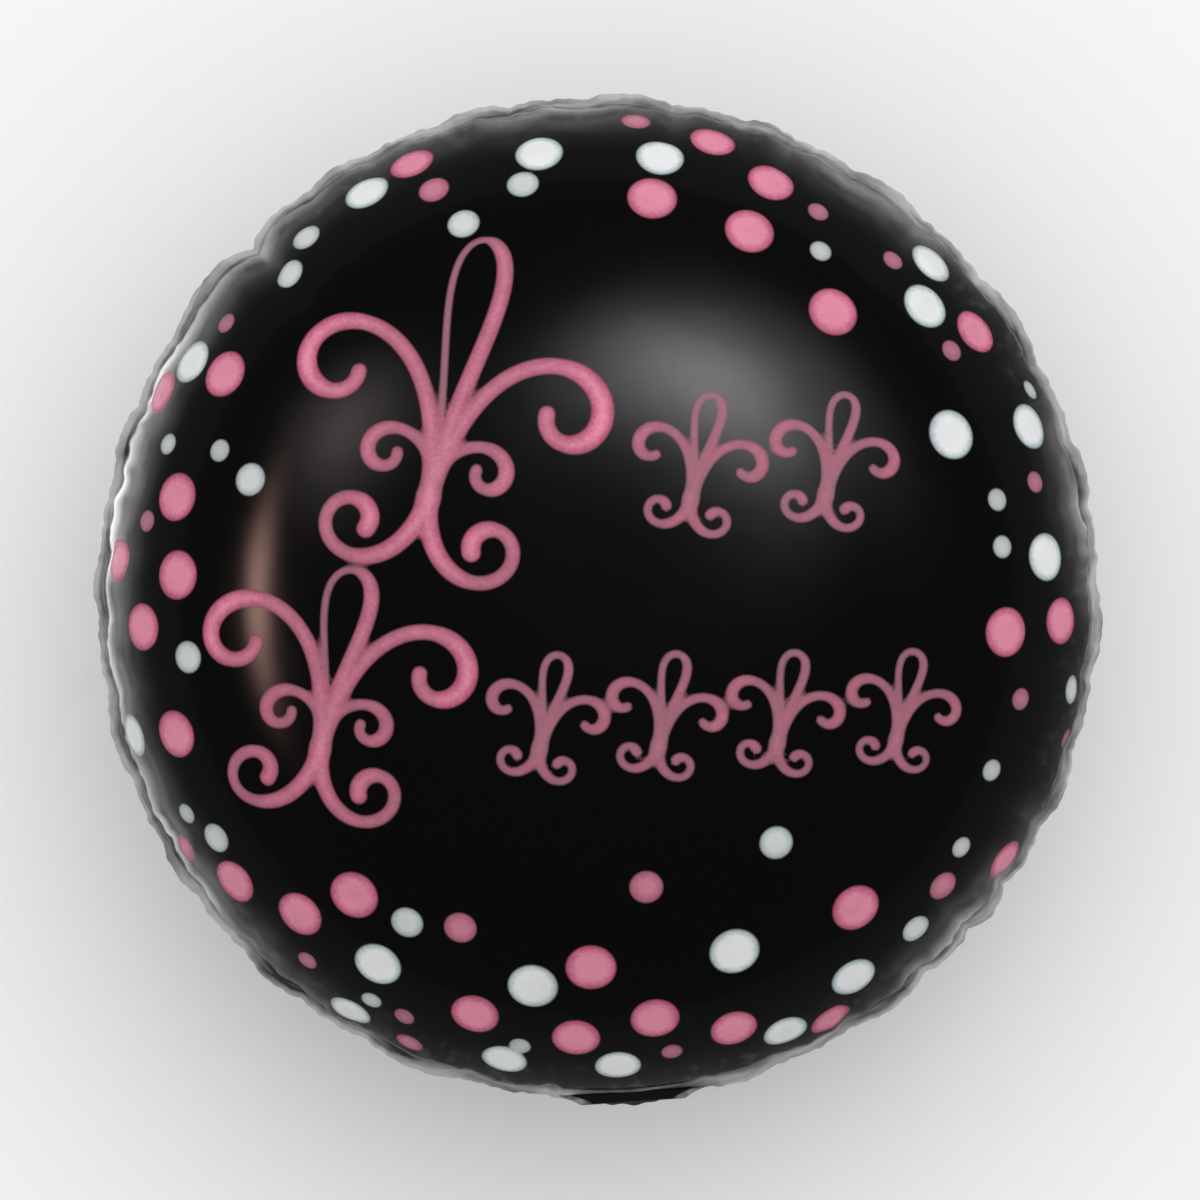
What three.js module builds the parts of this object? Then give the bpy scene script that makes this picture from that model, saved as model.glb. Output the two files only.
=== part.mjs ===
// Round foil balloon, 18 inch size, filled and lying on its back with the printed front up.
// Millimetres, +Z up. +X is the print's right and +Y the print's top.
// The origin is the middle of the small flat spot that the back rests on.
//
// Two discs of metallised film are welded together round their edge. The film can bend but not
// stretch, so the filled balloon takes one known curve, and the length that the rim then has to
// spare goes into puckers that run inwards from the weld.

import * as THREE from "three";

const SHEET_DIAMETER = 457; // each disc as cut, 18 inches
const SEAM_WIDTH = 5; // welded margin, outside the gas
const FILM = 0.8; // one sheet's margin, thicker than the real film so that it is a sound solid
const WELD_GAP = 0.3; // left between the two sheets, and between the rim and the neck
const REST_RADIUS = 50; // the flat spot under the back

const PUCKERS = 40;
const POINTS_PER_PUCKER = 4;
const PUCKER_DEPTH = 1.6; // fold to crest at the weld, on most of the rim
// Where the folds are deeper: the direction from the middle, the reach to either side of it, both in
// degrees, and how many times as deep they are there.
const DEEP_PLACES = [
  [-38, 12, 2.1],
  [134.7, 5, 3.1],
];
const PUCKER_LENGTH = 62; // how far a fold of middle size runs in from the weld
const PUCKER_MEAN = 0.31; // share of a pucker's depth that its average lies at
const LONG_FOLDS = 0.3; // how much further in than the middle every other fold runs
const FOLD_POWER = 0.8; // shape across a pucker at the weld: less is sharper, and it grows inwards
const FADE_POWER = 1.5; // how soon a pucker's depth fades on its way in
const RUFFLE = 3.5; // how far the weld swings towards the front or the back in each pucker
const RUFFLE_LENGTH = 34; // how far in from the weld that swing is felt
const FIN_LEAN = 0.85; // how far the margin leans towards the back, in radians
const FIN_TILT = 0.16; // how much less or more it leans at the crests of the puckers
const FIRST_PHASE = 4.9; // where the row of puckers starts, in radians of its own phase
// Waves that space the puckers unevenly: waves round the rim, size and start, in radians.
const SPACING_WAVES = [
  [3, 1.3, 2.0],
  [7, 0.9, 4.6],
  [13, 0.45, 2.8],
];

const NECK_ANGLE = THREE.MathUtils.degToRad(-86); // just right of the print's bottom
const NECK_WIDTH = 34;
const NECK_FLARE = 1.12; // the open end's width against the root's
const NECK_THICKNESS = 1.6; // two sheets with the valve film between them
const NECK_LEAD = 0.8; // short straight start, so that the bend clears the rim
const NECK_BEND = 2.2; // radius in which the neck turns down over the rim
const NECK_STRAIGHT = 56;
const NECK_LEAN = THREE.MathUtils.degToRad(8); // back towards the balloon
const CALM_INNER = 0.1; // half the angle round the neck that has no puckers, in radians
const CALM_OUTER = 0.17; // beyond this angle the puckers are whole

// The weld's radius once filled, from the length of the sheet between the pole and the weld.
const FLAT_RADIUS = SHEET_DIAMETER / 2 - SEAM_WIDTH;
const LENGTH_PER_RADIUS = 1.3110288; // arc length of the filled curve over its radius
const WELD_RADIUS = FLAT_RADIUS / LENGTH_PER_RADIUS;

// One point of the filled curve, a given length of film in from the weld. With the radius written as
// WELD_RADIUS times the sine of a turn, the turn changes by sqrt(1 + sine^2) / WELD_RADIUS for each
// millimetre of film, and the film climbs by sine^2 for each millimetre.
function curvePoint(inset) {
  const steps = Math.max(1, Math.ceil(inset));
  const step = inset / steps;
  let turn = Math.PI / 2;
  let height = 0;
  for (let i = 0; i < steps; i++) {
    const rate = Math.sqrt(1 + Math.sin(turn) ** 2) / WELD_RADIUS;
    const middle = turn - (rate * step) / 2;
    height += step * Math.sin(middle) ** 2;
    turn -= (Math.sqrt(1 + Math.sin(middle) ** 2) / WELD_RADIUS) * step;
  }
  const steepness = Math.sin(turn) ** 2; // sine of the film's slope, and its normal's outward share
  return { radius: WELD_RADIUS * Math.sin(turn), height, steepness };
}

// The length of film between the weld and a given radius on the dome, by halving.
const HALVINGS = 40;
function insetAtRadius(radius) {
  let low = 0;
  let high = FLAT_RADIUS;
  for (let i = 0; i < HALVINGS; i++) {
    const middle = (low + high) / 2;
    if (curvePoint(middle).radius > radius) low = middle;
    else high = middle;
  }
  return (low + high) / 2;
}

const REST_INSET = insetAtRadius(REST_RADIUS);
const SEAM_HEIGHT = curvePoint(REST_INSET).height;

// How far round the row of puckers an angle is: each pucker takes one full turn of this phase.
function phaseAt(angle) {
  return SPACING_WAVES.reduce(
    (sum, [waves, size, start]) => sum + size * Math.sin(waves * angle + start),
    PUCKERS * angle + FIRST_PHASE,
  );
}

// The angle at a phase. Each pass puts the last angle's spacing waves right, and they settle fast.
const PASSES = 60;
function angleAtPhase(phase) {
  let angle = (phase - FIRST_PHASE) / PUCKERS;
  for (let i = 0; i < PASSES; i++) angle -= (phaseAt(angle) - phase) / PUCKERS;
  return angle;
}

// How wide the pucker at an angle is, against an average one.
function puckerSize(angle) {
  const rate = SPACING_WAVES.reduce(
    (sum, [waves, size, start]) => sum + waves * size * Math.cos(waves * angle + start),
    PUCKERS,
  );
  return PUCKERS / rate;
}

// How far apart two directions are, in radians.
function between(first, second) {
  return Math.abs(Math.atan2(Math.sin(first - second), Math.cos(first - second)));
}

// 0 beside the neck, where the film lies flat, rising to 1 away from it.
function calm(angle) {
  return THREE.MathUtils.smoothstep(between(angle, NECK_ANGLE), CALM_INNER, CALM_OUTER);
}

// How many times as deep as most the folds are at an angle: a bell curve over each deep place.
function pull(angle) {
  return DEEP_PLACES.reduce((sum, [direction, reach, times]) => {
    const away = THREE.MathUtils.radToDeg(between(angle, THREE.MathUtils.degToRad(direction)));
    return sum + (times - 1) * Math.exp(-((away / reach) ** 2));
  }, 1);
}

// A pucker's depth below the smooth curve, and the weld's swing to the front or the back. Folds are
// sharp and crests are round, wide puckers are deeper and longer, and every other fold is longer.
function pucker(angle, inset) {
  const half = phaseAt(angle) / 2;
  const size = Math.sqrt(puckerSize(angle)) * calm(angle);
  const reach = PUCKER_LENGTH * Math.sqrt(puckerSize(angle)) * (1 + LONG_FOLDS * Math.cos(half));
  const share = Math.min(1, inset / reach);
  const fold = 1 - Math.abs(Math.sin(half)) ** (FOLD_POWER + share);
  const deepest = PUCKER_DEPTH * pull(angle) * size;
  const depth = deepest * (fold - PUCKER_MEAN) * (1 - share) ** FADE_POWER;
  const swing = RUFFLE * size * Math.sin(half) * Math.max(0, 1 - inset / RUFFLE_LENGTH) ** 2;
  return { depth, swing, tilt: FIN_TILT * size * Math.sin(half) - FIN_LEAN };
}

// A point of one sheet's dome: side is 1 for the front and -1 for the back.
function domePoint(angle, inset, side) {
  const curve = curvePoint(inset);
  const { depth, swing } = pucker(angle, inset);
  const radius = curve.radius - depth * curve.steepness;
  const height = curve.height - depth * Math.sqrt(1 - curve.steepness ** 2);
  const layer = (WELD_GAP / 2 + FILM) * Math.max(0, 1 - inset / RUFFLE_LENGTH);
  return { radius, z: SEAM_HEIGHT + swing + side * (height + layer) };
}

// A point of the welded margin, a given distance out from the weld and off the margin's own surface.
function finPoint(angle, out, off) {
  const { depth, swing, tilt } = pucker(angle, 0);
  const radius = WELD_RADIUS - depth + out * Math.cos(tilt) - off * Math.sin(tilt);
  return { radius, z: SEAM_HEIGHT + swing + out * Math.sin(tilt) + off * Math.cos(tilt) };
}

// The closed solid between rings of points that all share the same angles, from the dome's pole to the
// middle of the parting face. Both sheets are cut into triangles alike, so that they meet exactly, and
// the back's are turned to face out.
function ringSolid(domePole, rings, partingPole, side) {
  const angles = Array.from({ length: PUCKERS * POINTS_PER_PUCKER }, (_, i) =>
    angleAtPhase((2 * Math.PI * i) / POINTS_PER_PUCKER),
  );
  const count = angles.length;
  const positions = [0, 0, domePole];
  for (const ring of rings)
    for (const angle of angles) {
      const { radius, z } = ring(angle);
      positions.push(radius * Math.cos(angle), radius * Math.sin(angle), z);
    }
  positions.push(0, 0, partingPole);
  const last = positions.length / 3 - 1;
  const index = [];
  const triangle = (a, b, c) => index.push(a, ...(side > 0 ? [b, c] : [c, b]));
  for (let i = 0; i < count; i++) {
    const next = (i + 1) % count;
    triangle(0, 1 + i, 1 + next);
    triangle(last, last - count + next, last - count + i);
    for (let ring = 0; ring < rings.length - 1; ring++) {
      const a = 1 + ring * count;
      const b = a + count;
      triangle(a + i, b + i, b + next);
      triangle(a + i, b + next, a + next);
    }
  }
  const geometry = new THREE.BufferGeometry();
  geometry.setAttribute("position", new THREE.Float32BufferAttribute(positions, 3));
  geometry.setIndex(index);
  return geometry;
}

// Ring spacings on the dome: close together near the weld, where the puckers are.
const DOME_INSETS = [146, 118, 92, 69, 49, 33, 21, 12, 5, 0];
const PARTING_RADIUS = 0.8 * WELD_RADIUS; // inside this the seam's surface is flat

// One sheet with the gas behind it, down to the seam's surface: dome, margin and parting face.
function panelGeometry(side) {
  const near = (side * WELD_GAP) / 2;
  const far = near + side * FILM;
  const insets = [REST_INSET, ...DOME_INSETS];
  const rings = [
    ...insets.map((inset) => (angle) => domePoint(angle, inset, side)),
    (angle) => finPoint(angle, SEAM_WIDTH, far),
    (angle) => finPoint(angle, SEAM_WIDTH, near),
    (angle) => finPoint(angle, 0, near),
    () => ({ radius: PARTING_RADIUS, z: SEAM_HEIGHT + near }),
  ];
  const pole = side > 0 ? SEAM_HEIGHT + curvePoint(FLAT_RADIUS).height : 0;
  return ringSolid(pole, rings, SEAM_HEIGHT + near, side);
}

// The neck, pressed flat: a strip that leaves the leaning margin, turns down over it and hangs. Its side
// view is drawn with x along the margin's lean and y off its face, then given its width, which flares
// to the open end, and turned to the lean.
function neckGeometry() {
  const half = NECK_THICKNESS / 2;
  const turned = Math.PI / 2 + NECK_LEAN - FIN_LEAN;
  const end = {
    x: NECK_LEAD + NECK_BEND * Math.sin(turned) + NECK_STRAIGHT * Math.cos(turned),
    y: -NECK_BEND + NECK_BEND * Math.cos(turned) - NECK_STRAIGHT * Math.sin(turned),
  };
  const across = { x: half * Math.sin(turned), y: half * Math.cos(turned) };
  const side = new THREE.Shape();
  side.moveTo(0, half);
  side.lineTo(NECK_LEAD, half);
  side.absarc(NECK_LEAD, -NECK_BEND, NECK_BEND + half, Math.PI / 2, Math.PI / 2 - turned, true);
  side.lineTo(end.x + across.x, end.y + across.y);
  side.lineTo(end.x - across.x, end.y - across.y);
  side.absarc(NECK_LEAD, -NECK_BEND, NECK_BEND - half, Math.PI / 2 - turned, Math.PI / 2, false);
  side.lineTo(0, -half);
  const geometry = new THREE.ExtrudeGeometry(side, {
    depth: NECK_WIDTH,
    bevelEnabled: false,
    curveSegments: 8,
  });
  geometry.translate(0, 0, -NECK_WIDTH / 2);
  const position = geometry.getAttribute("position");
  for (let i = 0; i < position.count; i++) {
    const down = THREE.MathUtils.smoothstep(-position.getY(i), NECK_BEND, -end.y);
    position.setZ(i, position.getZ(i) * (1 + (NECK_FLARE - 1) * down));
  }
  return geometry.rotateZ(-FIN_LEAN).rotateX(Math.PI / 2); // the side view's up becomes +Z
}

const materials = {
  print: new THREE.MeshStandardMaterial({ color: 0x17161a, roughness: 0.28, metalness: 0.6 }),
  back: new THREE.MeshStandardMaterial({ color: 0x141317, roughness: 0.28, metalness: 0.6 }),
  neck: new THREE.MeshStandardMaterial({ color: 0x1b1a1e, roughness: 0.35, metalness: 0.6 }),
};

function piece(name, geometry, material) {
  const mesh = new THREE.Mesh(geometry, material);
  mesh.name = name;
  return mesh;
}

const balloon = new THREE.Group();
balloon.add(piece("front_panel", panelGeometry(1), materials.print));
balloon.add(piece("back_panel", panelGeometry(-1), materials.back));

const neck = piece("filling_neck", neckGeometry(), materials.neck);
const rim = finPoint(NECK_ANGLE, SEAM_WIDTH + WELD_GAP, 0);
neck.position.set(rim.radius * Math.cos(NECK_ANGLE), rim.radius * Math.sin(NECK_ANGLE), rim.z);
neck.rotation.z = NECK_ANGLE;
balloon.add(neck);

export default balloon;
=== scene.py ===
import math

import bpy
import numpy as np
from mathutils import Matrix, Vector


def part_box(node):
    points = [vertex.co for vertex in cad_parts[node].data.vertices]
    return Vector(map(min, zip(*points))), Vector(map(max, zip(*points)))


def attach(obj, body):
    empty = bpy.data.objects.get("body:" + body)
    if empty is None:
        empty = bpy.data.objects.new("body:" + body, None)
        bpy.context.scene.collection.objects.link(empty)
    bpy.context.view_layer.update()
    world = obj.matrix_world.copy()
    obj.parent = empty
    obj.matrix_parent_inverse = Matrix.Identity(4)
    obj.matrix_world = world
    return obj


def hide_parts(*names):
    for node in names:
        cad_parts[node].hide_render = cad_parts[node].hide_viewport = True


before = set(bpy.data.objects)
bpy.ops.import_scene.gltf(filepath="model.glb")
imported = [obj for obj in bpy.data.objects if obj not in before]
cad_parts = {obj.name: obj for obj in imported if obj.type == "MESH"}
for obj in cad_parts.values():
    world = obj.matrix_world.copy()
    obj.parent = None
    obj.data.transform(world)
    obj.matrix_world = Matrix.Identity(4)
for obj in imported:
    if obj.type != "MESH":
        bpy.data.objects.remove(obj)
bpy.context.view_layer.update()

# The studio
# The balloon lies on its back on a plain pale floor, with the print up, and the camera looks straight
# down on it through a long lens. Its glossy film mirrors one large soft lamp, two faint ones and a narrow
# warm one, in an otherwise dark room, and near the rim a pale haze on the floor that nothing else shows.
# A soft light from the print's upper side lights floor and inks.

MM = 0.001  # every size below is in millimetres, and becomes metres where a mesh or object is made
PHOTO_PX = 1200  # the photograph's width and height
PRINT_MIDDLE_PX = (598.0, 598.0)  # the pixel that the print's middle falls on
MM_PER_PX = 0.3435  # at the rim: the outline is 1007 pixels across, and the real rim about 346 mm

rim_low, rim_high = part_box("front_panel")
EYE_HEIGHT = 6000.0
FLOOR_HALF = 8000.0
FLOOR_GAP = 0.2  # under the balloon, so that its flat spot and the floor don't share a surface
FLOOR_TONE = (0.96, 0.96, 0.965, 1)
FLOOR_MIRRORED = (0.11, 0.11, 0.115, 1)
# Where the film's rim mirrors a pale haze on the floor: direction, reach in degrees, and brightness.
HAZE_PLACES = [(164, 30, 2.6), (212, 16, 1.0), (95, 14, 0.8), (56, 9, 1.0), (12, 9, 0.9), (-42, 10, 0.7)]
HAZE_MIDDLE = 170.0  # how far from the balloon's middle the haze is brightest, and how soon it fades
HAZE_FADE = 170.0
HAZE_STREAK = 45.0  # size of its streaks
HAZE_CONTRAST = 3.0
DARK_ROOM = 0.08  # strengths of the room, of the light all round and of what the camera sees past the floor
SKY = 0.7
BACKDROP = 0.82
WHITE = (1, 1, 1, 1)
LAMP_TINT = (1.0, 0.955, 1.01, 1)
WARM = (1.0, 0.6, 0.5, 1)
FAINT_WARMTH = 0.3  # how much of the warm tint the faint lamp has
LAMP_EDGE = 5.0  # how sharply a lamp is cut off a quarter turn from its middle


class Socket:
    """One socket of a node tree. Used in an expression, it adds the Math nodes that work it out."""

    def __init__(self, tree, socket=None):
        self.tree = tree
        self.socket = socket

    def node(self, kind, settings=None, inputs=None, output=0):
        """Any other node: its type, its settings, then the values or links of its sockets."""
        made = self.tree.nodes.new(kind)
        for name, value in (settings or {}).items():
            setattr(made, name, value)
        for name, value in (inputs or {}).items():
            if isinstance(value, Socket):
                self.tree.links.new(value.socket, made.inputs[name])
            else:
                made.inputs[name].default_value = value
        return Socket(self.tree, made.outputs[output])

    def maths(self, operation, *values, clamp=False):
        settings = {"operation": operation, "use_clamp": clamp}
        return self.node("ShaderNodeMath", settings, dict(enumerate(values)))

    def __add__(self, other):
        return self.maths("ADD", self, other)

    __radd__ = __add__

    def __mul__(self, other):
        return self.maths("MULTIPLY", self, other)

    __rmul__ = __mul__

    def __sub__(self, other):
        return self.maths("SUBTRACT", self, other)

    def __rsub__(self, other):
        return self.maths("SUBTRACT", other, self)

    def __truediv__(self, other):
        return self.maths("DIVIDE", self, other)

    def held(self):
        """The value, held between 0 and 1."""
        return self.maths("ADD", self, 0.0, clamp=True)

    def pick(self, first, second):
        """The number that is first where this value is 0 and second where it is 1."""
        return first + self * (second - first)

    def mix(self, first, second):
        """The colour that is first where this value is 0 and second where it is 1."""
        return self.node("ShaderNodeMix", {"data_type": "RGBA"}, {0: self, 6: first, 7: second}, 2)


def add_studio():
    camera = bpy.data.objects.new("camera", bpy.data.cameras.new("camera"))
    bpy.context.scene.collection.objects.link(camera)
    middle_px = PHOTO_PX / 2
    rim_height = (rim_low.z + rim_high.z) / 2 / MM
    camera.location = (
        (middle_px - PRINT_MIDDLE_PX[0]) * MM_PER_PX * MM,
        (PRINT_MIDDLE_PX[1] - middle_px) * MM_PER_PX * MM,
        EYE_HEIGHT * MM,
    )
    camera.data.lens = camera.data.sensor_width * (EYE_HEIGHT - rim_height) / (PHOTO_PX * MM_PER_PX)
    camera.data.clip_end = 2 * EYE_HEIGHT * MM
    bpy.context.scene.camera = camera

    corners = [(-FLOOR_HALF, -FLOOR_HALF), (FLOOR_HALF, -FLOOR_HALF)]
    corners += [(FLOOR_HALF, FLOOR_HALF), (-FLOOR_HALF, FLOOR_HALF)]
    mesh = bpy.data.meshes.new("floor")
    mesh.from_pydata([(x * MM, y * MM, -FLOOR_GAP * MM) for x, y in corners], [], [(0, 1, 2, 3)])
    floor = bpy.data.objects.new("floor", mesh)
    bpy.context.scene.collection.objects.link(floor)
    pale = bpy.data.materials.new("pale_floor")
    pale.use_nodes = True
    shader = pale.node_tree.nodes["Principled BSDF"]
    shader.inputs["Roughness"].default_value = 0.8
    ground = Socket(pale.node_tree)
    spot = ground.node("ShaderNodeTexCoord", output="Object")
    way = ground.node("ShaderNodeVectorMath", {"operation": "NORMALIZE"}, {0: spot})
    haze = 0.0
    for azimuth, reach, share in HAZE_PLACES:
        turn = math.radians(azimuth)
        towards = {0: way, 1: (math.cos(turn), math.sin(turn), 0.0)}
        ahead = ground.node("ShaderNodeVectorMath", {"operation": "DOT_PRODUCT"}, towards, "Value")
        sharpness = 1 / (1 - math.cos(math.radians(reach)))
        haze = haze + share * ground.maths("EXPONENT", (ahead - 1.0) * sharpness)
    off = ground.node("ShaderNodeVectorMath", {"operation": "LENGTH"}, {0: spot}, "Value") / MM
    off = (off - HAZE_MIDDLE) / HAZE_FADE
    streak = {"Vector": spot, "Scale": 1 / (HAZE_STREAK * MM), "Detail": 3.0}
    haze = haze * (ground.node("ShaderNodeTexNoise", inputs=streak) * HAZE_CONTRAST - 0.7).held()
    haze = haze * ground.maths("EXPONENT", off * off * -1.0)
    by_gloss = ground.node("ShaderNodeLightPath", output="Is Glossy Ray")
    pale.node_tree.links.new(by_gloss.mix(FLOOR_TONE, FLOOR_MIRRORED).socket, shader.inputs["Base Color"])
    shader.inputs["Emission Color"].default_value = WHITE
    pale.node_tree.links.new((by_gloss * haze).socket, shader.inputs["Emission Strength"])
    mesh.materials.append(pale)

    world = bpy.data.worlds.new("studio")
    bpy.context.scene.world = world
    world.use_nodes = True
    tree = world.node_tree
    sky = Socket(tree)
    towards = sky.node("ShaderNodeTexCoord", output="Generated")

    def along(direction):
        """How far the way looked in goes along a direction."""
        settings = {"operation": "DOT_PRODUCT"}
        return sky.node("ShaderNodeVectorMath", settings, {0: towards, 1: direction}, "Value")

    def lamp(off_zenith, azimuth, tall, wide, strength):
        """A soft lamp that falls off as a bell curve, tall up the sky and wide round it, in degrees."""
        tilt = math.radians(off_zenith)
        turn = math.radians(azimuth)
        middle = (math.sin(tilt) * math.cos(turn), math.sin(tilt) * math.sin(turn), math.cos(tilt))
        down = along((math.cos(tilt) * math.cos(turn), math.cos(tilt) * math.sin(turn), -math.sin(tilt)))
        round_it = along((-math.sin(turn), math.cos(turn), 0.0))
        off = down * down / math.radians(tall) ** 2 + round_it * round_it / math.radians(wide) ** 2
        ahead = (along(middle) * LAMP_EDGE).held()
        return strength * ahead * sky.maths("EXPONENT", off * -1.0)

    by_camera = sky.node("ShaderNodeLightPath", output="Is Camera Ray")
    by_gloss = sky.node("ShaderNodeLightPath", output="Is Glossy Ray")
    warm = lamp(56.5, 180, 3.6, 11, 17.0)
    faint = lamp(45, 146, 12, 8, 2.8)
    mirrored = DARK_ROOM + lamp(28.5, 63, 11.5, 11.5, 9.6) + lamp(46, 48, 11, 16, 1.5) + warm + faint
    lit = SKY + lamp(45, 75, 32, 40, 1.25)
    strength = by_camera.pick(by_gloss.pick(lit, mirrored), BACKDROP)
    colour = by_gloss.mix(WHITE, ((warm + faint * FAINT_WARMTH) / mirrored).mix(LAMP_TINT, WARM))
    tree.links.new(strength.socket, tree.nodes["Background"].inputs["Strength"])
    tree.links.new(colour.socket, tree.nodes["Background"].inputs["Color"])
    bpy.context.scene.view_settings.view_transform = "Standard"


add_studio()

# The front sheet
# One disc of metallised film, printed glossy black with pink and silver glitter inks and welded to the
# back sheet all round. Gas domes it; the film bends but can't stretch, so the rim's spare length goes
# into puckers that run in from the weld. The welded margin goes on past it as a wavy band that leans
# towards the back.

SHEET_RADIUS = 228.5  # as cut, 18 inches across
SEAM_WIDTH = 5.0
FLAT_RADIUS = SHEET_RADIUS - SEAM_WIDTH
LENGTH_PER_RADIUS = 1.3110288  # arc length of the filled curve over its radius
WELD_RADIUS = FLAT_RADIUS / LENGTH_PER_RADIUS
REST_RADIUS = 50.0  # the flat spot under the back

PUCKERS = 40
PUCKER_DEPTH = 1.6
DEEP_PLACES = [(-38, 12, 2.1), (134.7, 5, 3.1)]  # direction and reach in degrees, times as deep
PUCKER_LENGTH = 62.0
PUCKER_MEAN = 0.31
LONG_FOLDS = 0.3
FOLD_POWER = 0.8
FADE_POWER = 1.5
RUFFLE = 3.5
RUFFLE_LENGTH = 34.0
FIN_LEAN = 0.85  # how far the margin leans towards the back, in radians
FIN_TILT = 0.16  # how far it swings to either side of that lean
FIRST_PHASE = 4.9
SPACING_WAVES = [(3, 1.3, 2.0), (7, 0.9, 4.6), (13, 0.45, 2.8)]  # waves round the rim, size, start
NECK_ANGLE = math.radians(-86)
CALM_INNER = 0.1
CALM_OUTER = 0.17

# The filled curve, from the weld in to the pole. Its radius is the weld's times the sine of a turn, and
# a millimetre of film changes the turn by sqrt(1 + sine squared) / weld radius and climbs sine squared.
turn = np.linspace(np.pi / 2, 0, 4001)
film_per_turn = WELD_RADIUS / np.sqrt(1 + np.sin(turn) ** 2)


def running_total(rate):
    """The running total of a rate over the turn, from the weld in."""
    return np.concatenate([[0], np.cumsum((rate[1:] + rate[:-1]) / 2 * -np.diff(turn))])


curve_inset = running_total(film_per_turn)
curve_height = running_total(film_per_turn * np.sin(turn) ** 2)
curve_radius = WELD_RADIUS * np.sin(turn)
SEAM_HEIGHT = np.interp(-REST_RADIUS, -curve_radius, curve_height)


def smooth_dome(inset):
    """Radius, height over the seam and steepness where the film is a given length in from the weld."""
    radius = np.interp(inset, curve_inset, curve_radius)
    height = np.interp(inset, curve_inset, curve_height)
    return radius, height, (radius / WELD_RADIUS) ** 2


def smooth_step(value, low, high):
    """0 below low, 1 above high, and 3 share squared - 2 share cubed between them."""
    share = np.clip((value - low) / (high - low), 0, 1)
    return share * share * (3 - 2 * share)


def between(angle, direction):
    """How far apart two directions are, in radians."""
    return np.abs(np.arctan2(np.sin(angle - direction), np.cos(angle - direction)))


def pucker(angle, inset):
    """Depth below the smooth curve, the seam's swing up or down, and the margin's tilt.

    A pucker's section is 1 - |sine of half its phase| to a power that grows inwards, so that folds are
    sharp and crests round. Its depth fades with the length of film in from the weld, and every other
    fold runs further in.
    """
    phase = PUCKERS * angle + FIRST_PHASE
    phase = phase + sum(size * np.sin(n * angle + start) for n, size, start in SPACING_WAVES)
    rate = PUCKERS + sum(n * size * np.cos(n * angle + start) for n, size, start in SPACING_WAVES)
    width = np.sqrt(PUCKERS / rate)
    size = width * smooth_step(between(angle, NECK_ANGLE), CALM_INNER, CALM_OUTER)
    pull = 1 + sum(
        (times - 1) * np.exp(-(between(angle, math.radians(direction)) / math.radians(reach)) ** 2)
        for direction, reach, times in DEEP_PLACES
    )
    inside = np.clip(inset, 0, None)
    share = np.clip(inside / (PUCKER_LENGTH * width * (1 + LONG_FOLDS * np.cos(phase / 2))), 0, 1)
    fold = 1 - np.abs(np.sin(phase / 2)) ** (FOLD_POWER + share)
    depth = PUCKER_DEPTH * pull * size * (fold - PUCKER_MEAN) * (1 - share) ** FADE_POWER
    swing = RUFFLE * size * np.sin(phase / 2) * np.clip(1 - inside / RUFFLE_LENGTH, 0, 1) ** 2
    return depth, swing, FIN_TILT * size * np.sin(phase / 2) - FIN_LEAN


# Finer creases between the puckers: waves round the rim, how far in they reach, and their height.
CREASES = [(83, 34.0, 0.30), (131, 22.0, 0.26), (179, 15.0, 0.20), (227, 11.0, 0.13)]
MARGIN_CREASES = [(89, 0.26), (157, 0.22), (241, 0.14)]  # waves round the margin, and their height


def crease(angle, inset):
    """Height of the fine creases on the dome: waves that bunch and fade by slower waves round the rim."""
    inside = np.clip(inset, 0, None)
    calm = smooth_step(between(angle, NECK_ANGLE), CALM_INNER, CALM_OUTER) * smooth_step(inside, 0, 3)
    total = np.zeros_like(angle)
    for number, (waves, reach, height) in enumerate(CREASES):
        bunching = np.sin((5 + 2 * number) * angle + number) + 0.6 * np.sin((11 + 3 * number) * angle)
        fade = np.clip(1 - inside / (reach * (1 + 0.35 * bunching)), 0, 1) ** 1.5
        place = waves * angle + 1.7 * bunching + 0.9 * np.sin(3 * angle + 2 * number) * inside / reach
        total = total + height * fade * (0.6 + 0.4 * bunching) * np.sin(place)
    return total * calm


def margin_crease(angle, out):
    """Height of the waves along the margin, growing from the weld to the cut edge."""
    waves = sum(
        height * np.sin(n * angle + 1.3 * np.sin(9 * angle + place))
        for place, (n, height) in enumerate(MARGIN_CREASES)
    )
    calm = smooth_step(between(angle, NECK_ANGLE), CALM_INNER, CALM_OUTER)
    return calm * waves * (0.35 + 0.65 * out / SEAM_WIDTH) * (out > 0)


DOME_RINGS = 148
MARGIN_RINGS = 4
RINGS = DOME_RINGS + MARGIN_RINGS
LAYER = 0.12  # from the seam's middle to a sheet's outer face, in the margin
BACK_SHIFT = 1.0  # radians by which the back's fine creases are turned, so that they don't mirror the front's


def disc_grid():
    """Ring number and angle over a square grid bent into a disc, whose nested squares become rings."""
    steps = np.arange(-RINGS, RINGS + 1.0)
    across, up = np.meshgrid(steps, steps)
    sideways = np.abs(across) >= np.abs(up)
    longer = np.where(sideways, across, up)
    share = np.where(sideways, up, across) / np.where(longer == 0, 1, longer)
    angle = np.where(sideways, share, 2 - share) * np.pi / 4 + np.where(longer < 0, np.pi, 0)
    return np.abs(longer).ravel(), angle.ravel()


ring, ring_angle = disc_grid()
ring_inset = np.where(
    ring <= DOME_RINGS,
    FLAT_RADIUS * (1 - ring / DOME_RINGS),
    -SEAM_WIDTH * (ring - DOME_RINGS) / MARGIN_RINGS,
)


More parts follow.
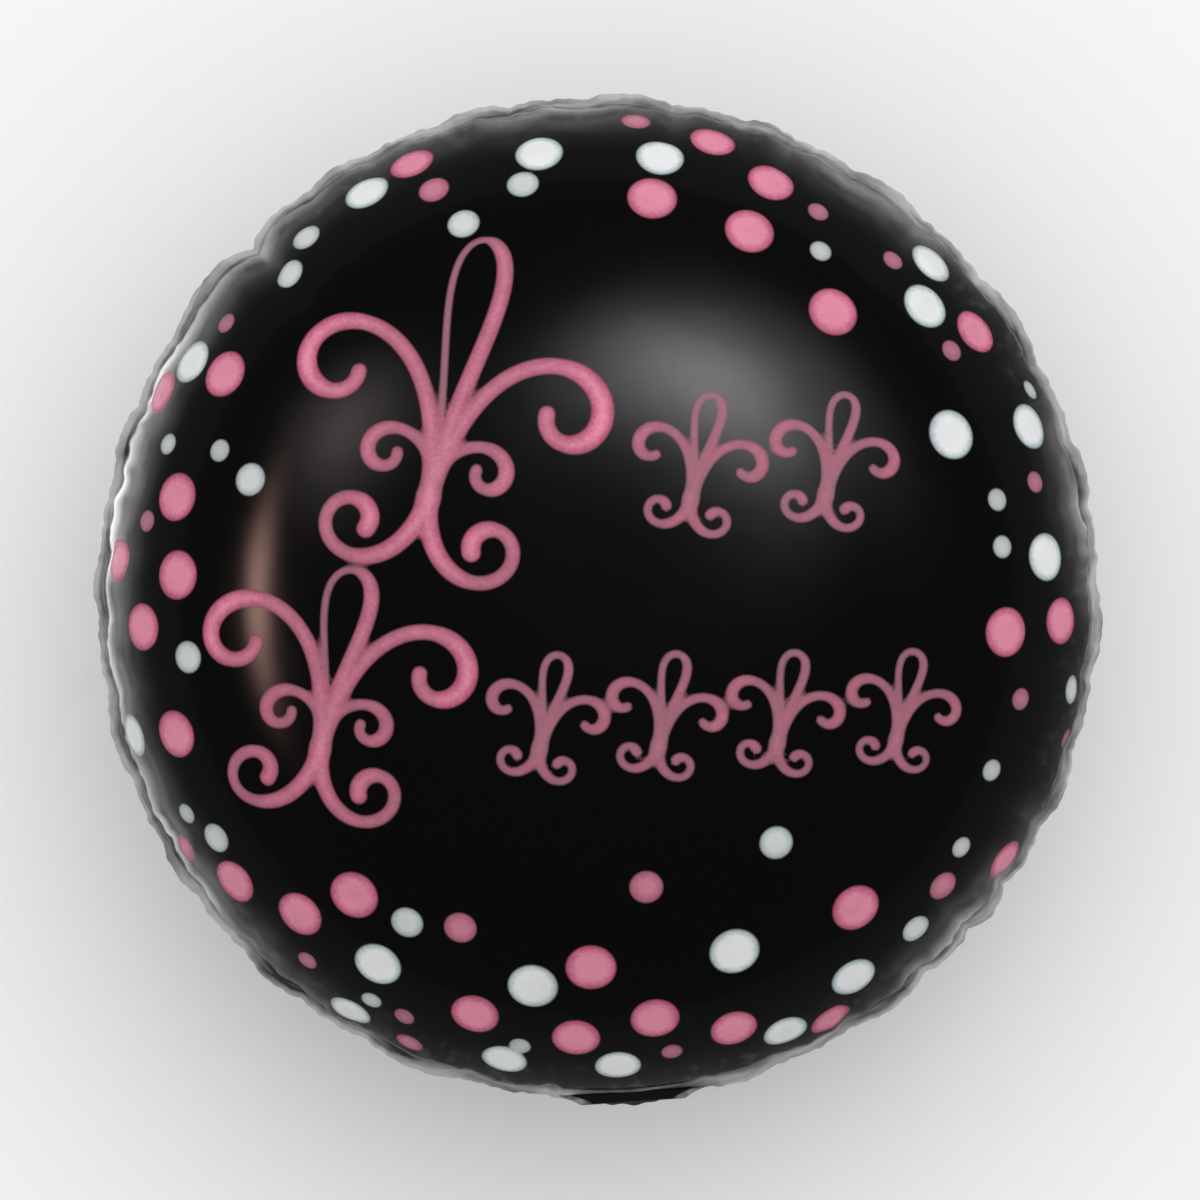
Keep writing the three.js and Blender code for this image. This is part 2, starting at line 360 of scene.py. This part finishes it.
def sheet_points(side):
    """Points of one sheet: the smooth dome, less the puckers along its normal, and the leaning margin."""
    radius, height, steep = smooth_dome(ring_inset)
    depth, swing, tilt = pucker(ring_angle, ring_inset)
    depth = depth - crease(ring_angle + BACK_SHIFT * (side < 0), ring_inset)
    out = np.clip(-ring_inset, 0, None)
    off = margin_crease(ring_angle, out) + side * LAYER * (ring < RINGS)
    off = np.where(out > 0, off, 0)
    radius = radius - depth * steep + out * np.cos(tilt) - off * np.sin(tilt)
    height = side * (height - depth * np.sqrt(1 - steep ** 2))
    up = SEAM_HEIGHT + swing + height * (out == 0) + out * np.sin(tilt) + off * np.cos(tilt)
    up = np.clip(up, 0, None)
    return np.stack([radius * np.cos(ring_angle), radius * np.sin(ring_angle), up], axis=1)


def add_piece(name, points, faces, slot, *nodes):
    """A smooth-shaded mesh piece that stands for its CAD nodes."""
    mesh = bpy.data.meshes.new(name)
    mesh.vertices.add(len(points))
    mesh.vertices.foreach_set("co", (points * MM).ravel())
    mesh.loops.add(faces.size)
    mesh.loops.foreach_set("vertex_index", faces.ravel())
    mesh.polygons.add(len(faces))
    mesh.polygons.foreach_set("loop_start", np.arange(0, faces.size, faces.shape[1]))
    mesh.polygons.foreach_set("use_smooth", np.ones(len(faces), bool))
    mesh.update(calc_edges=True)
    piece = bpy.data.objects.new(name, mesh)
    bpy.context.scene.collection.objects.link(piece)
    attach(piece, "root")
    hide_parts(*nodes)
    return piece


def grid_faces(rows, columns, side):
    """The four-sided faces of a grid of points, turned to face the given side."""
    first = (np.arange(rows - 1)[:, None] * columns + np.arange(columns - 1)).ravel()
    corners = [first, first + 1, first + columns + 1, first + columns]
    return np.stack(corners[::side], axis=1)


def split_short(faces, points):
    """The same faces, each starting at the corner that splits it along its shorter diagonal."""
    one, other = (np.linalg.norm(points[faces[:, k]] - points[faces[:, k + 2]], axis=1) for k in (0, 1))
    return np.where((other < one)[:, None], np.roll(faces, 1, axis=1), faces)


def tube_faces(rows, columns):
    """The four-sided faces of rows of points that each close on themselves."""
    here = np.arange(columns)
    after = (here + 1) % columns
    row = np.arange(rows - 1)[:, None] * columns
    corners = [row + here, row + after, row + columns + after, row + columns + here]
    return np.stack([corner.ravel() for corner in corners], axis=1)


# The print is worked out on the flat sheet, as it was printed, in millimetres from its middle.
flat_radius = FLAT_RADIUS - ring_inset
flat_points = np.stack([flat_radius * np.cos(ring_angle), flat_radius * np.sin(ring_angle)], axis=1)


def plan_of(pixels):
    """Plan points, in millimetres with y up, of points given in the photograph's pixels."""
    return (np.array(pixels, float) - PRINT_MIDDLE_PX) * (MM_PER_PX, -MM_PER_PX)


def on_sheet(plan):
    """The flat sheet's points that come to lie at plan points of the filled balloon."""
    radius = np.hypot(plan[..., 0], plan[..., 1])
    inset = np.interp(-radius, -curve_radius, curve_inset) - np.clip(radius - WELD_RADIUS, 0, None)
    return plan * ((FLAT_RADIUS - inset) / np.maximum(radius, MM))[..., None]


# The dots, by the pixel of each one's middle, in three sizes of each ink. Small ones are fainter.
DOT_LARGE = 17.8
DOT_MIDDLE = 11.5
DOT_SMALL = 8.0
DOT_STRENGTH = {DOT_LARGE: 1.0, DOT_MIDDLE: 0.65, DOT_SMALL: 0.45}
PINK_LARGE = [
    (411, 162), (225, 374), (177, 497), (178, 575), (142, 627), (176, 734), (234, 882), (300, 914),
    (355, 894), (475, 1014), (591, 966), (576, 1038), (655, 1018), (734, 1029), (855, 907),
    (1005, 632), (1062, 621), (976, 331), (832, 313), (749, 232), (771, 182), (713, 140), (652, 199),
    (160, 391), (116, 560), (1007, 861), (832, 1022),
]
PINK_MIDDLE = [(646, 885), (184, 849), (943, 886), (461, 926), (409, 1044), (636, 120), (434, 190)]
PINK_SMALL = [
    (226, 323), (147, 521), (307, 961), (404, 1017), (672, 1052), (893, 260), (818, 212), (951, 351),
    (1035, 482), (1020, 699), (1069, 739),
]
SILVER_LARGE = [
    (366, 191), (539, 153), (191, 361), (378, 964), (349, 1013), (533, 985), (504, 1061), (618, 1067),
    (734, 950), (854, 978), (786, 1033), (1046, 557), (1030, 426), (950, 435), (925, 306), (932, 262),
    (660, 157), (132, 736),
]
SILVER_MIDDLE = [
    (464, 225), (289, 273), (775, 841), (408, 921), (252, 480), (216, 838), (189, 657), (523, 185),
    (916, 929), (306, 237), (1074, 690),
]
SILVER_SMALL = [
    (221, 451), (168, 444), (186, 814), (371, 1001), (520, 1046), (961, 847), (991, 770), (1001, 547),
    (996, 500), (1032, 389), (820, 252),
]


STRENGTH_FALL = 0.5  # how soon an ink's strength falls away outside its edge, for each millimetre
EDGE_RANGE = (-3.6, 2.3)  # past these a distance from an ink's edge no longer changes its look
RIM_STRETCH = 0.22  # dots by the rim are printed this much longer outwards, to look round when filled
STRETCH_FROM = 120.0


def dots(groups):
    """How far each point is outside the nearest dot's edge, and how strong the ink is by that dot."""
    edge = np.full(len(flat_points), FLAT_RADIUS)
    strength = np.zeros(len(flat_points))
    for diameter, middles in groups:
        for middle in middles:
            gap = flat_points - middle
            from_middle = np.hypot(*middle)
            outwards = gap @ middle / from_middle
            stretch = 1 + RIM_STRETCH * smooth_step(from_middle, STRETCH_FROM, FLAT_RADIUS)
            sideways = (gap ** 2).sum(axis=1) - outwards ** 2
            off = np.sqrt(np.maximum(sideways + (outwards / stretch) ** 2, 0)) - diameter / 2
            edge = np.minimum(edge, off)
            strength = np.maximum(strength, DOT_STRENGTH[diameter] - STRENGTH_FALL * off.clip(0))
    return edge, strength


# The pen strokes: plumes of curls round a bud, large at the head of each row and small after it.
def curl(length, heading, first, last, power):
    """A curve from 0, 0 whose heading turns at a rate going from first to last, in radians a length."""
    share = np.linspace(0, 1, 90)
    rate = first + (last - first) * share ** power
    turned = np.concatenate([[0], np.cumsum((rate[1:] + rate[:-1]) / 2)]) * share[1]
    middle = math.radians(heading) + (turned[1:] + turned[:-1]) / 2
    steps = np.stack([np.cos(middle), np.sin(middle)], axis=1) * length * share[1]
    return np.concatenate([[(0, 0)], np.cumsum(steps, axis=0)])


def bud(height, width):
    """A tall loop from 0, 0: up by the sine of half a turn, and aside by that sine times its double's."""
    half_turn = np.linspace(0, np.pi, 90)
    aside = -0.77 * width * np.sin(2 * half_turn) * np.sin(half_turn)
    return np.stack([aside, height * np.sin(half_turn)], axis=1)


PEN_SLANT = np.array([-0.24, -0.97])  # the way a downstroke goes
PEN_THINNEST = 2.3
BROAD_PEN = 7.0  # a stroke this wide is as strong as a large dot
WET_EDGE = 0.8  # how far two strokes' ink runs together where they meet
PEN_REACH = 12.0  # a point further than this outside a stroke's box is left as it is


def pen_width(points, thick, thin):
    """Thick where the pen goes down along its slant and thin where it goes up."""
    way = np.gradient(points, axis=0)
    way /= np.linalg.norm(way, axis=1, keepdims=True)
    down = np.clip(way @ PEN_SLANT, 0, 1) ** 0.7
    return np.maximum(thin + (thick - thin) * down, PEN_THINNEST)


def leaning(points, lean, foot, flip=1):
    """Points mirrored if flip is -1, turned by lean degrees and moved to a foot."""
    turned = math.radians(lean)
    across = points[:, 0] * flip
    x = across * math.cos(turned) - points[:, 1] * math.sin(turned)
    y = across * math.sin(turned) + points[:, 1] * math.cos(turned)
    return np.stack([x, y], axis=1) + foot


def plume(foot_px, lean, size, pen, bud_height, large):
    """Strokes of a plume, as pairs of points and pen widths: pairs of curls to either side of a bud.

    A large plume has a third pair of curls. A small one is curled less, so that its ink keeps apart.
    """
    tight = 1.0 if large else 0.85
    pairs = [(curl(1.28 * size, 84, -0.8, -16.6 * tight, 1.9), pen)]
    pairs.append((curl(0.82 * size, -82, 1.4, 13.4 * tight, 1.3), 0.85 * pen))
    if large:
        pairs.append((curl(0.52 * size, 58, -1.0, -12.0, 1.2) + (0, 0.1 * size), 0.7 * pen))
    foot = plan_of(foot_px)
    strokes = []
    for points, thick in pairs:
        for flip in (1, -1):
            placed = leaning(points, lean, foot, flip)
            strokes.append((placed, pen_width(placed, thick, 0.72 * thick)))
    placed = leaning(bud(bud_height * size, 0.12 * size + 3), lean, foot)
    strokes.append((placed, pen_width(placed, 0.75 * pen, 0.3 * pen)))
    return strokes


def pen_rows():
    """Both rows of pen strokes: each is one large plume, then small ones along the row's line."""
    strokes = plume((430, 498), -13, 97.0, 7.6, 0.93, True)
    strokes += plume((322, 748), -11, 84.0, 7.0, 0.74, True)
    for place in range(2):
        foot = (690 + 134 * place, 500 - 5 * place)
        strokes += plume(foot, -12, 38.0 - 1.5 * place, 4.2, 0.95, False)
    for place in range(4):
        foot = (540 + 118 * place, 748 - 3 * place)
        strokes += plume(foot, -12, 34.5 - 0.7 * place, 4.0, 0.95, False)
    return strokes


def inked(strokes):
    """How far each point of the sheet is outside the nearest stroke, and how strong the ink is by it."""
    away = np.full(len(flat_points), FLAT_RADIUS)
    strength = np.zeros(len(flat_points))
    for plan, pen in strokes:
        line = on_sheet(plan)
        low = line.min(axis=0) - PEN_REACH
        high = line.max(axis=0) + PEN_REACH
        near = np.flatnonzero(np.all((flat_points > low) & (flat_points < high), axis=1))
        step = np.diff(line, axis=0)
        gap = flat_points[near, None, :] - line[:-1]
        along = np.clip((gap * step).sum(axis=2) / (step ** 2).sum(axis=1), 0, 1)
        off = np.linalg.norm(gap - along[:, :, None] * step, axis=2)
        width = pen[:-1] + np.diff(pen) * along
        edge = off - width / 2
        away[near] = -WET_EDGE * np.logaddexp(-away[near] / WET_EDGE, -edge.min(axis=1) / WET_EDGE)
        by_stroke = (width / BROAD_PEN - STRENGTH_FALL * edge.clip(0)).max(axis=1)
        strength[near] = np.maximum(strength[near], by_stroke)
    return away, strength


def add_values(piece, **values):
    """One number for each point of a piece, kept as named attributes that its material reads."""
    for name, numbers in values.items():
        layer = piece.data.attributes.new(name, "FLOAT", "POINT")
        layer.data.foreach_set("value", np.asarray(numbers, np.float32))


stroke_edge, stroke_strength = inked(pen_rows())
pink_dot_edge, pink_dot_strength = dots([
    (DOT_LARGE, on_sheet(plan_of(PINK_LARGE))),
    (DOT_MIDDLE, on_sheet(plan_of(PINK_MIDDLE))),
    (DOT_SMALL, on_sheet(plan_of(PINK_SMALL))),
])
silver_dot_edge, silver_dot_strength = dots([
    (DOT_LARGE, on_sheet(plan_of(SILVER_LARGE))),
    (DOT_MIDDLE, on_sheet(plan_of(SILVER_MIDDLE))),
    (DOT_SMALL, on_sheet(plan_of(SILVER_SMALL))),
])
side_steps = 2 * RINGS + 1
front_faces = split_short(grid_faces(side_steps, side_steps, 1), flat_points)
front = add_piece("front_foil", sheet_points(1), front_faces, "printed_foil_front", "front_panel")
add_values(
    front,
    pink_edge=np.clip(np.minimum(pink_dot_edge, stroke_edge), *EDGE_RANGE),
    silver_edge=np.clip(silver_dot_edge, *EDGE_RANGE),
    strength=np.maximum.reduce([stroke_strength, pink_dot_strength, silver_dot_strength]),
    from_weld=ring_inset,
)

FILM_BLACK = (0.0016, 0.0017, 0.0018, 1)
PAINTED_PUCKER_SHEEN = (0.065, 0.065, 0.069, 1)  # painted reflection: faint pale streaks in the colour by the weld, standing for the puckers' sheen
WELDED_BLACK = (0.035, 0.036, 0.035, 1)  # the margin is greyer than the print, a guess, and its pale patches below stand partly for a painted reflection of the pale haze round the rim
WELD_PALE_AND_PAINTED_HAZE = (0.44, 0.44, 0.45, 1)
PINK_CORE = (0.75, 0.25, 0.36, 1)
PINK_RIM = (0.42, 0.055, 0.13, 1)
PINK_FAINT = (0.27, 0.12, 0.155, 1)
SILVER_CORE = (0.78, 0.79, 0.80, 1)
SILVER_RIM = (0.28, 0.38, 0.38, 1)
SILVER_FAINT = (0.34, 0.365, 0.36, 1)
EDGE_BLUR = 0.9  # width over which an ink's edge fades out
INK_RIM = 3.2  # width of the deeper rim inside an ink's edge
GLITTER_GRAIN = 1.0
CLOUD_SIZE = 11.0
WAVE_SIZE = 38.0  # size of the film's slow waves
CREASED_WIDTH = 45.0  # how far in from the weld the film is creased
CRINKLE = (5.0, 32.0)  # how wide the streaks that run in from the weld are, and how long
SEAL = (24.0, 5.0)  # how long the streaks along the welded margin are, and how wide
PALE_PAST_WELD = 1.8  # how far inside the weld the margin's pale tone goes on, as painted light over the dark crease where dome meets margin


def noise(film, place, size, detail):
    """Smooth noise whose features are about a given number of millimetres across."""
    inputs = {"Vector": place, "Scale": 1 / (size * MM), "Detail": detail}
    return film.node("ShaderNodeTexNoise", inputs=inputs)


def streaks(film, place, from_weld, round_it, across, detail):
    """Noise stretched along the rim or across it, by its size round the rim and its size inwards."""
    plan = [film.node("ShaderNodeSeparateXYZ", inputs={0: place}, output=axis) for axis in (0, 1)]
    axes = [axis / (round_it * MM) for axis in plan] + [from_weld / across]
    where = film.node("ShaderNodeCombineXYZ", inputs=dict(enumerate(axes)))
    return film.node("ShaderNodeTexNoise", inputs={"Vector": where, "Scale": 1.0, "Detail": detail})


def bumped(film, height, strength):
    """The surface's normal under a relief whose height is given in millimetres."""
    inputs = {"Strength": strength, "Distance": MM, "Height": height}
    return film.node("ShaderNodeBump", inputs=inputs, output="Normal")


def printed_film(name):
    """Glossy black print over bright film, with two glitter inks laid where the piece's values say, pale
    streaks by the weld painted as the puckers' reflection, and a greyer margin whose pale patches are partly
    a painted reflection.
    """
    material = bpy.data.materials.new(name)
    material.use_nodes = True
    tree = material.node_tree
    shader = tree.nodes["Principled BSDF"]
    film = Socket(tree)

    def value(which):
        return film.node("ShaderNodeAttribute", {"attribute_name": which}, output="Fac")

    place = film.node("ShaderNodeTexCoord", output="Object")
    pink_edge = value("pink_edge")
    silver_edge = value("silver_edge")
    pink = (0.5 - pink_edge / EDGE_BLUR).held()
    silver = (0.5 - silver_edge / EDGE_BLUR).held()
    inputs = {"Vector": place, "Scale": 1 / (GLITTER_GRAIN * MM)}
    grain = film.node("ShaderNodeTexVoronoi", inputs=inputs, output="Color")
    fleck = film.node("ShaderNodeSeparateColor", inputs={0: grain})
    cloud = noise(film, place, CLOUD_SIZE, 3.0)
    from_weld = value("from_weld")
    # Painted light: the margin's pale tone runs a little inside the weld, over the shade of the crease there.
    welded = (1.0 - from_weld / PALE_PAST_WELD).held()
    near_weld = (1.0 - from_weld / CREASED_WIDTH).held()
    crinkle = streaks(film, place, from_weld, *CRINKLE, 2.0)
    # Painted reflection of the puckers: pale streaks painted into the colour within the creased band by the
    # weld.
    painted_sheen = ((crinkle - 0.54) * 6.0).held()
    uninked_and_sheen = (near_weld * painted_sheen).mix(FILM_BLACK, PAINTED_PUCKER_SHEEN)
    seal = streaks(film, place, from_weld, *SEAL, 4.0)
    # The margin is greyer than the print, and its pale mottled patches are partly a painted reflection of the
    # pale haze that the rim mirrors.
    pale = (from_weld / -SEAM_WIDTH * 0.6 + 0.35 + (seal - 0.5) * 2.8).held()
    uninked_and_sheen = welded.mix(uninked_and_sheen, pale.mix(WELDED_BLACK, WELD_PALE_AND_PAINTED_HAZE))
    dull = near_weld * 0.25 + fleck * 0.3 + (0.5 - cloud) * 0.5
    faint = (1.15 - value("strength") + (0.5 - cloud) * 0.4).held()
    pink_tone = (pink_edge * -1.0 / INK_RIM + 0.1 - dull).held().mix(PINK_RIM, PINK_CORE)
    pink_tone = faint.mix(pink_tone, PINK_FAINT)
    silver_tone = (silver_edge * -1.3 / INK_RIM + 0.1 - dull).held().mix(SILVER_RIM, SILVER_CORE)
    silver_tone = faint.mix(silver_tone, SILVER_FAINT)
    colour = silver.mix(pink.mix(uninked_and_sheen, pink_tone), silver_tone)
    tree.links.new(colour.socket, shader.inputs["Base Color"])
    ink = (pink + silver).held()
    rough = 0.12 + cloud * 0.05 + welded * 0.2 + ink * (0.25 + fleck * 0.15)
    tree.links.new(rough.socket, shader.inputs["Roughness"])
    shader.inputs["Specular IOR Level"].default_value = 0.25
    relief = noise(film, place, WAVE_SIZE, 2.0) * 0.5 + near_weld * crinkle * 0.6
    normal = bumped(film, relief + ink * fleck * 0.015, 0.4)
    tree.links.new(normal.socket, shader.inputs["Normal"])
    return material


front.data.materials.append(printed_film("printed_film_front"))

# The back sheet
# The same disc of film, welded to the front one. It carries the balloon, flat where it meets the floor,
# and is printed black with the same dots, thinly scattered, and no pen strokes.

back_faces = split_short(grid_faces(side_steps, side_steps, -1), flat_points)
back = add_piece("back_foil", sheet_points(-1), back_faces, "printed_foil_back", "back_panel")
GOLDEN_TURN = math.pi * (3 - math.sqrt(5))
BACK_DOTS = 84
INNER_DOTS = 0.5  # radius inside which the back is plain, as a share of the sheet's


def scattered(count):
    """Middles of evenly scattered dots: each a golden turn on, and further out by a square root."""
    number = np.arange(count)
    share = (number + 0.5) / count
    radius = FLAT_RADIUS * np.sqrt(INNER_DOTS ** 2 + (1 - INNER_DOTS ** 2) * share)
    angle = number * GOLDEN_TURN
    return np.stack([radius * np.cos(angle), radius * np.sin(angle)], axis=1)


places = scattered(BACK_DOTS)
pink_back_edge, pink_back_strength = dots([(DOT_LARGE, places[::4]), (DOT_SMALL, places[1::4])])
silver_back_edge, silver_back_strength = dots([(DOT_MIDDLE, places[2::4]), (DOT_LARGE, places[3::8])])
add_values(
    back,
    pink_edge=np.clip(pink_back_edge, *EDGE_RANGE),
    silver_edge=np.clip(silver_back_edge, *EDGE_RANGE),
    strength=np.maximum(pink_back_strength, silver_back_strength),
    from_weld=ring_inset,
)
back.data.materials.append(printed_film("printed_film_back"))

# The filling neck
# The tail of both sheets at the foot of the rim, welded down its two sides and pressed shut by a valve
# film inside. It goes on from the leaning margin, turns down sharply and hangs, cut off square.

NECK_WIDTH = 34.0
NECK_FLARE = 1.12  # how much wider it is at the mouth
NECK_LEAD = 0.8  # past the margin's edge it goes straight on, bends with this radius and hangs this long
NECK_BEND = 2.2
NECK_STRAIGHT = 56.0
NECK_LEAN = math.radians(8)  # past upright, in under the balloon
NECK_WELD = 5.0  # the flat welded band down each side
NECK_SWELL = 1.1  # how far each film of the channel stands off the middle
NECK_FILM = 0.18  # from the middle to a film's outer face where the two are pressed together
NECK_ROOT = 4.0  # how far it starts inside the margin's edge
NECK_FILLET = 9.0  # how far it widens, and over what length, where it leaves the margin
MOUTH_DEPTH = 9.0  # how far up the open end's inside is modelled
MOUTH_INSET = 0.3  # how far the inside face lies within the outside one
NECK_LOOSE = 14.0  # the film hangs loose this far down
NECK_CREASE = 6.0
NECK_SEAL = 7.0  # size of the pale patches on its side welds


def neck_shape(rows, columns):
    """A flat tube along a path: straight along the margin, round a bend and straight down.

    Across it, both films lie flat over the side welds and bulge as half a sine over the channel. Past
    the open end the tube turns in and runs back up, which gives the mouth an inside, pressed shut.
    """
    turned = math.pi / 2 + NECK_LEAN - FIN_LEAN
    lead = NECK_ROOT + NECK_LEAD
    arc = NECK_BEND * turned
    end = lead + arc + NECK_STRAIGHT
    travel = np.linspace(0, end + MOUTH_DEPTH, rows)
    along = np.where(travel > end, 2 * end - travel, travel)
    inner = MOUTH_INSET * (travel > end)
    bend = FIN_LEAN + np.clip((along - lead) / NECK_BEND, 0, turned)
    straight = np.clip(along - lead - arc, 0, None)
    first = np.minimum(along, lead)
    out = first * math.cos(FIN_LEAN) + NECK_BEND * (np.sin(bend) - math.sin(FIN_LEAN))
    out = out + straight * np.cos(bend)
    up = -first * math.sin(FIN_LEAN) - NECK_BEND * (math.cos(FIN_LEAN) - np.cos(bend))
    up = up - straight * np.sin(bend)
    fillet = NECK_FILLET * np.clip(1 - along / NECK_FILLET, 0, 1) ** 2
    half_width = NECK_WIDTH / 2 * (1 + (NECK_FLARE - 1) * smooth_step(straight, 0, NECK_STRAIGHT))
    half_width = (half_width + fillet - inner)[:, None]
    round_it = np.arange(columns) * 2 * np.pi / columns
    across = np.cos(round_it) * half_width
    channel = np.clip((half_width - np.abs(across)) / NECK_WELD - 1, 0, 1)
    loose = smooth_step(straight, 0, NECK_LOOSE)[:, None]
    wrinkle = 0.3 * np.sin(0.8 * across + 1.5 * np.sin(0.11 * along)[:, None])
    wrinkle = wrinkle + 0.3 * np.sin(0.42 * along)[:, None] * np.sin(0.35 * across + 0.03 * along[:, None])
    film = NECK_FILM + loose * (NECK_SWELL * np.sin(channel * np.pi / 2) + wrinkle * channel)
    film = film - inner[:, None] / 2
    film[[0, -1]] = 0
    sway = (1.2 * np.sin(0.09 * along)[:, None] + 0.9 * np.sin(0.16 * across + 0.1 * along[:, None])) * loose
    offset = sway + np.sign(np.round(np.sin(round_it), 6)) * film
    return (
        out[:, None] + offset * np.sin(bend)[:, None],
        across,
        up[:, None] + offset * np.cos(bend)[:, None],
        half_width - np.abs(across),
    )


NECK_ROWS = 160
NECK_COLUMNS = 120
neck_out, neck_across, neck_up, neck_inset = neck_shape(NECK_ROWS, NECK_COLUMNS)
neck_out = neck_out + WELD_RADIUS + (SEAM_WIDTH - NECK_ROOT) * math.cos(FIN_LEAN)
neck_points = np.stack([
    neck_out * math.cos(NECK_ANGLE) - neck_across * math.sin(NECK_ANGLE),
    neck_out * math.sin(NECK_ANGLE) + neck_across * math.cos(NECK_ANGLE),
    SEAM_HEIGHT + neck_up - (SEAM_WIDTH - NECK_ROOT) * math.sin(FIN_LEAN),
], axis=2)
neck = add_piece(
    "neck_foil",
    neck_points.reshape(-1, 3),
    tube_faces(NECK_ROWS, NECK_COLUMNS),
    "neck_foil",
    "filling_neck",
)
add_values(neck, from_side=neck_inset.ravel())


def plain_film(name):
    """The same glossy black print without inks, lightly creased, and greyer over the side welds."""
    material = bpy.data.materials.new(name)
    material.use_nodes = True
    tree = material.node_tree
    shader = tree.nodes["Principled BSDF"]
    film = Socket(tree)
    place = film.node("ShaderNodeTexCoord", output="Object")
    cloud = noise(film, place, CLOUD_SIZE, 3.0)
    from_side = film.node("ShaderNodeAttribute", {"attribute_name": "from_side"}, output="Fac")
    welded = (NECK_WELD - from_side).held()
    seal = noise(film, place, NECK_SEAL, 4.0)
    pale = (0.75 - from_side / NECK_WELD * 0.75 + (seal - 0.5) * 2.8).held()
    colour = welded.mix(FILM_BLACK, pale.mix(WELDED_BLACK, WELD_PALE_AND_PAINTED_HAZE))
    tree.links.new(colour.socket, shader.inputs["Base Color"])
    tree.links.new((0.14 + cloud * 0.06 + welded * 0.2).socket, shader.inputs["Roughness"])
    shader.inputs["Specular IOR Level"].default_value = 0.3
    relief = noise(film, place, NECK_CREASE, 2.0) * 0.4
    tree.links.new(bumped(film, relief, 0.4).socket, shader.inputs["Normal"])
    return material


neck.data.materials.append(plain_film("plain_film"))
